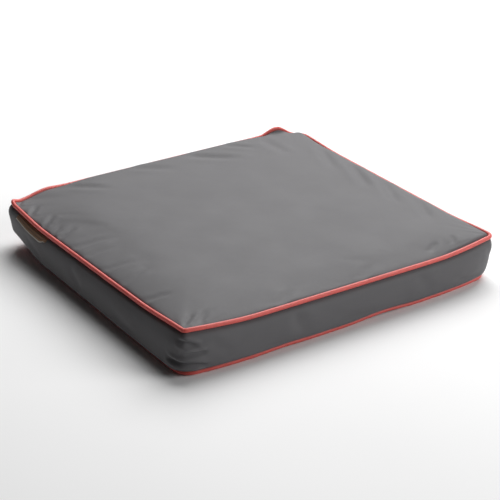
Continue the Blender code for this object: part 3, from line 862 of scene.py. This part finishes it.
def make_label(upper, lower, material):
    """A folded label caught under the top piping; it lies on the left side's band."""
    left = np.arange(2 * CELLS_X + CELLS_Y, 2 * CELLS_X + 2 * CELLS_Y)
    from_front = lower.flat[:, 1] - LABEL_LOW[1]
    from_rear = LABEL_HIGH[1] - lower.flat[:, 1]
    rounded = 1.0 - LABEL_FRONT_ROUND * smoothstep(1.0 - from_front / LABEL_FRONT_REACH)
    rounded -= LABEL_REAR_ROUND * smoothstep(1.0 - from_rear / LABEL_REAR_REACH)
    drop = LABEL_DROP * (LABEL_HIGH[2] - LABEL_LOW[2]) * rounded
    tall = upper.height - lower.height - 2 * BEAD_RADIUS
    y = np.linspace(LABEL_HIGH[1], LABEL_LOW[1], LABEL_STATIONS)
    rows = []
    for down, layers in LABEL_ROWS:
        face = band_points(upper, lower, (1.0 - down * drop / tall)[None, :])[0][left]
        face[:, :2] -= lower.inward[left] * (LABEL_STAND + LABEL_LAYER * layers)
        face = face[np.argsort(face[:, 1])]
        x, z = (np.interp(y, face[:, 1], face[:, axis]) for axis in (0, 2))
        rows.append(np.column_stack((x, y, z)))
    rows = np.array(rows)[::-1]
    travelled = LABEL_HIGH[1] - rows[..., 1]
    depth = np.broadcast_to(np.linspace(2.0, 0.0, len(rows))[:, None], travelled.shape)
    weave = np.dstack((travelled, depth)).reshape(-1, 2)
    faces = grid_faces(*rows.shape[:2])
    return thicken(add_mesh("label_cloth", rows.reshape(-1, 3), faces, material, weave), LABEL_FABRIC)


# Materials


def new_material(name):
    material = bpy.data.materials.new(name)
    material.use_nodes = True
    return material, material.node_tree


def feed(tree, socket, value):
    """Link another node's output to a socket, or set the socket's value."""
    if isinstance(value, bpy.types.NodeSocket):
        tree.links.new(value, socket)
    else:
        socket.default_value = value


def put(tree, kind, inputs, **settings):
    """Add a node, with its settings and its inputs' values or links, and return its first output."""
    item = tree.nodes.new(kind)
    for name, value in settings.items():
        setattr(item, name, value)
    for name, value in inputs.items():
        feed(tree, item.inputs[name], value)
    return item.outputs[0]


def attribute(tree, name, output):
    item = tree.nodes.new("ShaderNodeAttribute")
    item.attribute_name = name
    return item.outputs[output]


def ramp(tree, value, low, high, start, end):
    """Map a value from low..high to start..end."""
    return put(tree, "ShaderNodeMapRange", {
        "Value": value, "From Min": low, "From Max": high, "To Min": start, "To Max": end,
    })


def vary(tree, noise, start, end):
    """Map a noise, which mostly runs from NOISE_LOW to NOISE_HIGH, to start..end."""
    return ramp(tree, noise, NOISE_LOW, NOISE_HIGH, start, end)


def mixed(tree, share, first, second):
    item = tree.nodes.new("ShaderNodeMix")
    item.data_type = "RGBA"
    feed(tree, item.inputs[0], share)
    for number, colour in ((6, first), (7, second)):
        feed(tree, item.inputs[number], (*colour, 1.0) if isinstance(colour, tuple) else colour)
    return item.outputs[2]


def patchy(tree, patches, dark, light):
    return mixed(tree, vary(tree, patches, 0.0, 1.0), dark, light)


def maths(tree, operation, first, second):
    item = tree.nodes.new("ShaderNodeMath")
    item.operation = operation
    feed(tree, item.inputs[0], first)
    feed(tree, item.inputs[1], second)
    return item.outputs[0]


def threads(tree, place, direction, period):
    """Parallel threads of a weave, with a period in metres."""
    scale = 2 * math.pi / (WAVE_TURN * period)
    inputs = {"Vector": place, "Scale": scale, "Distortion": THREAD_DISTORTION, "Detail Scale": 1.0}
    look = {"wave_type": "BANDS", "bands_direction": direction, "wave_profile": "SIN"}
    return put(tree, "ShaderNodeTexWave", inputs, **look)


def plain_weave(tree, place, period):
    return maths(tree, "MULTIPLY", threads(tree, place, "X", period), threads(tree, place, "Y", period))


def cloud(tree, place, size, detail=3.0):
    return put(tree, "ShaderNodeTexNoise", {"Vector": place, "Scale": 1.0 / size, "Detail": detail})


def stretched_noise(tree, place, scale, detail):
    """Noise drawn out into streaks: scale is how fine it is along each axis."""
    stretched = put(tree, "ShaderNodeMapping", {"Vector": place, "Scale": scale})
    return put(tree, "ShaderNodeTexNoise", {"Vector": stretched, "Detail": detail})


def bumped(tree, height, distance, strength, base=None):
    inputs = {"Height": height, "Distance": distance, "Strength": strength}
    if base is not None:
        inputs["Normal"] = base
    return put(tree, "ShaderNodeBump", inputs)


def finish_shader(tree, colour, roughness, normal, **fixed):
    """Link what varies to the shader, and set what is the same all over on its own sockets."""
    shader = tree.nodes["Principled BSDF"]
    tree.links.new(colour, shader.inputs["Base Color"])
    tree.links.new(roughness, shader.inputs["Roughness"])
    tree.links.new(normal, shader.inputs["Normal"])
    for name, value in fixed.items():
        shader.inputs[name.replace("_", " ").title().replace("Ior", "IOR")].default_value = value
    return shader


def polyester():
    """Smooth mid-grey polyester: a close plain weave with a soft sheen, a little darker by its seams as
    painted shade from the piping.
    """
    material, tree = new_material("grey_polyester")
    place = attribute(tree, "weave", "Vector")
    seam = attribute(tree, "seam", "Fac")
    patches = cloud(tree, place, 0.05)
    slubs = cloud(tree, place, 0.0015)
    weave = plain_weave(tree, place, 0.00055)
    colour = patchy(tree, patches, *GREY)
    colour = mixed(tree, ramp(tree, weave, 0.0, 1.0, 0.10, 0.0), colour, GREY_GAP_AND_SEAM_SHADE)
    # Painted shade: the cloth is up to 22% darker within 4 mm of a seam, as the shadow beside and under the
    # piping
    colour = mixed(tree, ramp(tree, seam, 0.0, 0.004, 0.22, 0.0), colour, GREY_GAP_AND_SEAM_SHADE)
    rough_patches = vary(tree, patches, 0.60, 0.68)
    roughness = maths(tree, "ADD", rough_patches, vary(tree, slubs, -0.03, 0.03))
    soft = bumped(tree, cloud(tree, place, 0.018, 2.0), 0.0006, 0.35)
    fine = bumped(tree, weave, 0.00006, 0.6, soft)
    normal = bumped(tree, slubs, 0.00008, 0.3, fine)
    sheen = {"sheen_weight": 0.12, "sheen_roughness": 0.45, "specular_ior_level": 0.35}
    finish_shader(tree, colour, roughness, normal, **sheen)
    return material


def satin():
    """Coral bias strip, drawn over its cord: a slanting weave with small creases across it."""
    material, tree = new_material("coral_satin")
    place = attribute(tree, "weave", "Vector")
    bias = (0.0, 0.0, math.radians(45))
    slanted = put(tree, "ShaderNodeMapping", {"Vector": place, "Rotation": bias})
    weave = threads(tree, slanted, "X", 0.00045)
    puckers = stretched_noise(tree, place, (420.0, 60.0, 60.0), 2.0)
    patches = cloud(tree, place, 0.012)
    colour = patchy(tree, patches, *CORAL)
    colour = mixed(tree, ramp(tree, puckers, 0.35, 0.65, 0.18, 0.0), colour, CORAL_SHADE)
    colour = mixed(tree, ramp(tree, weave, 0.0, 1.0, 0.10, 0.0), colour, CORAL_SHADE)
    roughness = vary(tree, patches, 0.36, 0.46)
    normal = bumped(tree, weave, 0.00005, 0.6, bumped(tree, puckers, 0.0004, 0.5))
    finish_shader(tree, colour, roughness, normal, sheen_weight=0.1, sheen_roughness=0.4)
    return material


def label_weave():
    """Tan label: fine ribs along it, darker stripes and a pale selvedge at its fold."""
    material, tree = new_material("woven_label")
    place = attribute(tree, "weave", "Vector")
    split = tree.nodes.new("ShaderNodeSeparateXYZ")
    tree.links.new(place, split.inputs[0])
    down = split.outputs[1]
    ribs = threads(tree, place, "X", 0.0005)
    patches = cloud(tree, place, 0.004)
    colour = mixed(tree, ramp(tree, patches, 0.35, 0.65, 0.0, 1.0), *LABEL)
    bands = {"wave_type": "BANDS", "bands_direction": "Y"}
    stripes = put(tree, "ShaderNodeTexWave", {"Vector": place, "Scale": LABEL_STRIPES}, **bands)
    colour = mixed(tree, ramp(tree, stripes, 0.45, 0.6, 0.0, 0.6), colour, LABEL_STRIPE)
    above_fold = ramp(tree, down, 0.85, 0.9, 0.0, 1.0)
    below_fold = ramp(tree, down, 1.15, 1.2, 1.0, 0.0)
    colour = mixed(tree, maths(tree, "MULTIPLY", above_fold, below_fold), colour, LABEL_SELVEDGE)
    colour = mixed(tree, ramp(tree, ribs, 0.0, 1.0, 0.2, 0.0), colour, LABEL_GAP)
    finish_shader(tree, colour, vary(tree, patches, 0.6, 0.75), bumped(tree, ribs, 0.0001, 0.6))
    return material


def tape_weave():
    """Dark zip tape: a herringbone weave."""
    material, tree = new_material("zip_tape")
    item = tree.nodes.new("ShaderNodeTexCoord")
    ribs = threads(tree, item.outputs["Object"], "DIAGONAL", 0.0007)
    patches = cloud(tree, item.outputs["Object"], 0.006)
    colour = mixed(tree, ramp(tree, ribs, 0.0, 1.0, 1.0, 0.0), TAPE_RIB, TAPE_GAP)
    finish_shader(tree, colour, vary(tree, patches, 0.75, 0.9), bumped(tree, ribs, 0.00012, 0.7))
    return material


def nylon():
    """The coil's dark nylon wire."""
    material, tree = new_material("zip_nylon")
    place = attribute(tree, "weave", "Vector")
    patches = cloud(tree, place, 0.003)
    colour = patchy(tree, patches, *NYLON)
    roughness = vary(tree, patches, 0.30, 0.42)
    finish_shader(tree, colour, roughness, bumped(tree, patches, 0.00005, 0.3))
    return material


def plated_metal():
    """Nickel-plated zinc: brushed along the zip, with fine scratches and duller patches."""
    material, tree = new_material("plated_metal")
    item = tree.nodes.new("ShaderNodeTexCoord")
    place = item.outputs["Object"]
    grain = stretched_noise(tree, place, (400.0, 6000.0, 6000.0), 3.0)
    patches = cloud(tree, place, 0.003)
    colour = patchy(tree, patches, *METAL)
    rough_patches = vary(tree, patches, 0.22, 0.34)
    roughness = maths(tree, "ADD", rough_patches, vary(tree, grain, 0.0, 0.1))
    finish_shader(tree, colour, roughness, bumped(tree, grain, 0.00004, 0.4), metallic=1.0)
    return material


def fibres(name, dark, light, size, relief):
    """A matt, fibrous or porous filling, cord or thread."""
    material, tree = new_material(name)
    place = attribute(tree, "weave", "Vector")
    pores = put(tree, "ShaderNodeTexVoronoi", {"Vector": place, "Scale": 1.0 / size})
    patches = cloud(tree, place, size * 6.0)
    colour = mixed(tree, ramp(tree, pores, 0.0, 0.6, 0.0, 1.0), dark, light)
    finish_shader(tree, colour, vary(tree, patches, 0.85, 0.98), bumped(tree, pores, relief, 0.8))
    return material


def floor_paint():
    material, tree = new_material("floor")
    item = tree.nodes.new("ShaderNodeTexCoord")
    patches = cloud(tree, item.outputs["Object"], 0.4)
    colour = patchy(tree, patches, *FLOOR)
    grain = cloud(tree, item.outputs["Object"], 0.002)
    finish_shader(tree, colour, vary(tree, patches, 0.85, 0.95), bumped(tree, grain, 0.0001, 0.2))
    return material


# Studio


def make_floor():
    reach = FLOOR_REACH
    points = [(-reach, -reach, 0.0), (reach, -reach, 0.0), (reach, reach, 0.0), (-reach, reach, 0.0)]
    add_mesh("floor", points, [(0, 1, 2, 3)], floor_paint())


def aim(item, place, target):
    item.location = place
    item.rotation_euler = (target - place).to_track_quat("-Z", "Y").to_euler()


def orbit(azimuth, elevation, distance):
    """A place round the pad: azimuth 0 is in front of it, at -Y, and looks along +Y."""
    level = distance * math.cos(elevation)
    return Vector((level * math.sin(azimuth), -level * math.cos(azimuth), distance * math.sin(elevation)))


def make_camera():
    data = bpy.data.cameras.new("camera")
    data.lens = CAMERA_LENS
    data.sensor_width = SENSOR
    camera = bpy.data.objects.new("camera", data)
    bpy.context.scene.collection.objects.link(camera)
    aim(camera, CAMERA_TARGET + orbit(CAMERA_AZIMUTH, CAMERA_ELEVATION, CAMERA_DISTANCE), CAMERA_TARGET)
    bpy.context.scene.camera = camera


def add_light(name, azimuth, elevation, distance, size, power):
    """A soft square lamp aimed at the pad."""
    data = bpy.data.lights.new(name, "AREA")
    data.size = size
    data.energy = power
    light = bpy.data.objects.new(name, data)
    bpy.context.scene.collection.objects.link(light)
    aim(light, orbit(math.radians(azimuth), math.radians(elevation), distance), Vector((0.0, 0.0, 0.0)))


def make_studio():
    make_floor()
    make_camera()
    for lamp in LAMPS:
        add_light(*lamp)
    world = bpy.data.worlds.new("world")
    world.use_nodes = True
    sky = world.node_tree.nodes["Background"]
    sky.inputs["Color"].default_value = (1.0, 1.0, 1.0, 1.0)
    sky.inputs["Strength"].default_value = SKY_STRENGTH
    bpy.context.scene.world = world
    bpy.context.scene.view_settings.view_transform = "Standard"


# The pad


def make_top_panel(upper, material):
    """The top of the cover: uneven and folded, its edge turned down behind the piping."""
    across, along, *_ = edge_distances()
    near = np.minimum(across, along).ravel()
    surface = panel_surface(upper, True, PANEL_INSET, 0.0)
    flat = surface.reshape(-1, 3)
    uneven = sum(height * waves(flat, length, seed) for height, length, seed in PANEL_WAVES)
    folds = folded(flat[:, :2], PANEL_FOLDS)
    flat[:, 2] += uneven * smoothstep(near / SLACK_REACH) + folds * smoothstep(near / FOLD_CLEAR)
    panel = cut_panel("top_panel_cloth", surface, -SKIRT, material)
    turned = len(panel.data.vertices) - len(near)
    held = np.concatenate((np.where(near < EDGE_TOLERANCE, 1.0, PANEL_HOLD), np.ones(turned)))
    slack = np.concatenate((np.exp(-near / SLACK_REACH), np.zeros(turned)))
    settle(panel, held, slack, TOP_PRESSURE, PANEL_CAP)
    return panel


def make_side_band(upper, lower, material):
    """The boxing strip round the front and the sides, with its bulge and its folds."""
    shares = np.broadcast_to(spread(BAND_ROWS)[:, None], (BAND_ROWS + 1, len(upper.flat)))
    stations = side_stations(lower)
    rows = band_points(upper, lower, shares)[:, stations]
    travelled = lower.travelled[stations]
    travelled = np.where(travelled > travelled[-1], travelled - lower.travelled[-1], travelled)
    spots = np.dstack((np.broadcast_to(travelled, rows.shape[:2]), rows[..., 2])).reshape(-1, 2)
    raised = folded(spots, BAND_FOLDS).reshape(rows.shape[:2])
    raised *= np.minimum(shares[:, stations] / FOLD_RISE, 1.0)
    rows[..., :2] -= raised[..., None] * lower.inward[stations]
    seam = np.minimum(rows[..., 2] - rows[0, :, 2], rows[-1, :, 2] - rows[..., 2])
    band = strip_mesh("side_band_cloth", rows, travelled, material, seam)
    held = np.full(rows.shape[:2], BAND_HOLD)
    held[[0, -1]] = 1.0
    held[:, :BAND_END] = held[:, -BAND_END:] = 1.0
    settle(band, held.ravel(), np.ones(held.size), BAND_PRESSURE, BAND_CAP)
    return band


def declare(piece, node):
    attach(piece, "pad")
    if node:
        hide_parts(node)


def build_cover(upper, lower, grey):
    top = make_top_panel(upper, grey)
    underside = panel_surface(lower, False, PANEL_INSET, 0.0)
    bottom = cut_panel("bottom_panel_cloth", underside, SKIRT, grey)
    band = make_side_band(upper, lower, grey)
    for skin, node in ((top, "top_panel"), (bottom, "bottom_panel"), (band, "side_band")):
        declare(thicken(skin, FABRIC), node)


def build_zip(upper, lower, grey):
    """Both halves of the rear boxing, with their stitches and coils."""
    thread = fibres("grey_thread", *THREAD, 0.0004, 0.00005)
    wire = nylon()
    for name, hem, up in (("upper", UPPER_HEM, 1), ("lower", LOWER_HEM, -1)):
        half = zip_strip(f"zip_band_{name}_cloth", upper, lower, hem, up, grey)
        declare(half, f"zip_band_{name}")
        stitch_height = hem + up * STITCH_INSET
        stitches = make_stitches(f"zip_stitches_{name}", stitch_height, upper, lower, thread)
        declare(stitches, None)
        coil, core = make_coil(f"zip_turns_{name}", up, wire)
        declare(coil, f"zip_coil_{name}")
        declare(core, None)


def build_pipings(upper, lower):
    coral = satin()
    cotton = fibres("cotton_cord", *COTTON, 0.0005, 0.0001)
    for side, outline, up in (("top", upper, 1), ("bottom", lower, -1)):
        cover = sweep(f"{side}_piping_cloth", outline, piping_section(), up, coral)
        declare(cover, f"{side}_piping_cover")
        cord = make_cord(f"{side}_piping_twist", outline, cotton)
        declare(cord, f"{side}_piping_cord")


def filling_top(upper, depth):
    """A surface of the filling under the top panel, kept clear of the rear seam."""
    surface = panel_surface(upper, True, FILLING_INSET, depth)
    surface[..., 1] = np.minimum(surface[..., 1], FACE_REAR - FILLING_INSET)
    surface[..., 2] = np.minimum(surface[..., 2], PANEL_TOP + CROWN_PROUD - depth)
    return surface


def build_filling(upper, lower):
    """The foam between its two sheets of wadding."""
    wool = fibres("polyester_wadding", *WOOL, 0.0012, 0.0006)
    foam = fibres("foam", *FOAM, 0.0009, 0.0004)
    top_depths = np.cumsum((WADDING_DEPTH, WADDING_TOP, PIPING_GAP))
    bottom_depths = np.cumsum((WADDING_DEPTH, WADDING_BOTTOM, PIPING_GAP))
    tops = [filling_top(upper, depth) for depth in top_depths]
    floors = [panel_surface(lower, False, FILLING_INSET, depth) for depth in bottom_depths]
    for name, node, above, below, material, slot in (
        ("wadding_sheet_top", "wadding_top", tops[0], tops[1], wool, "wadding"),
        ("wadding_sheet_bottom", "wadding_bottom", floors[1], floors[0], wool, "wadding"),
        ("foam_slab", "foam_core", tops[2], floors[2], foam, "foam"),
    ):
        slab = make_slab(name, above, below, material)
        declare(slab, node)


def paint_kept_nodes():
    """The zip's small parts and tapes keep their CAD shapes."""
    metal = plated_metal()
    tape = tape_weave()
    for name, material in (
        ("zip_slider", metal),
        ("zip_pull_tab", metal),
        ("zip_bottom_stop", metal),
        ("zip_top_stop_upper", metal),
        ("zip_top_stop_lower", metal),
        ("zip_tape_upper", tape),
        ("zip_tape_lower", tape),
    ):
        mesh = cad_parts[name].data
        mesh.materials.clear()
        mesh.materials.append(material)


def main():
    make_studio()
    upper = make_outline(True)
    lower = make_outline(False)
    grey = polyester()
    build_cover(upper, lower, grey)
    build_zip(upper, lower, grey)
    build_pipings(upper, lower)
    build_filling(upper, lower)
    declare(make_label(upper, lower, label_weave()), "woven_label")
    paint_kept_nodes()


main()
